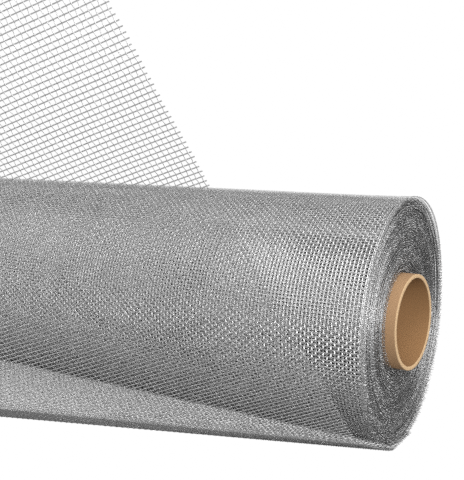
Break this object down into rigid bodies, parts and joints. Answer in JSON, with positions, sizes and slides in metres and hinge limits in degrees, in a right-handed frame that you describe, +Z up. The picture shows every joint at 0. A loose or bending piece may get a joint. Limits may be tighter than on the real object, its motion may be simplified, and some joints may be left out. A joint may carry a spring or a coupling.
{
  "type": "roll of aluminium insect screen on a cardboard tube",
  "caption": "Roll of woven aluminium insect screen on a cardboard tube, its loose end lifted off the floor in front.",
  "frame": {"origin": "on the underside of the loose sheet, where it lies on the floor under the middle of the roll", "axes": "+X along the roll towards its end with the lifted corner, -Y towards the loose end, +Z up"},
  "size_m": [0.6141, 0.3551, 0.1759],
  "materials": {
    "screen": "fine plain weave of bright drawn wire",
    "core": "matt brown spiral-wound card"
  },
  "bodies": {
    "root": {"core_tube": "core", "wound_roll": "screen", "loose_sheet": "screen"}
  },
  "joints": []
}
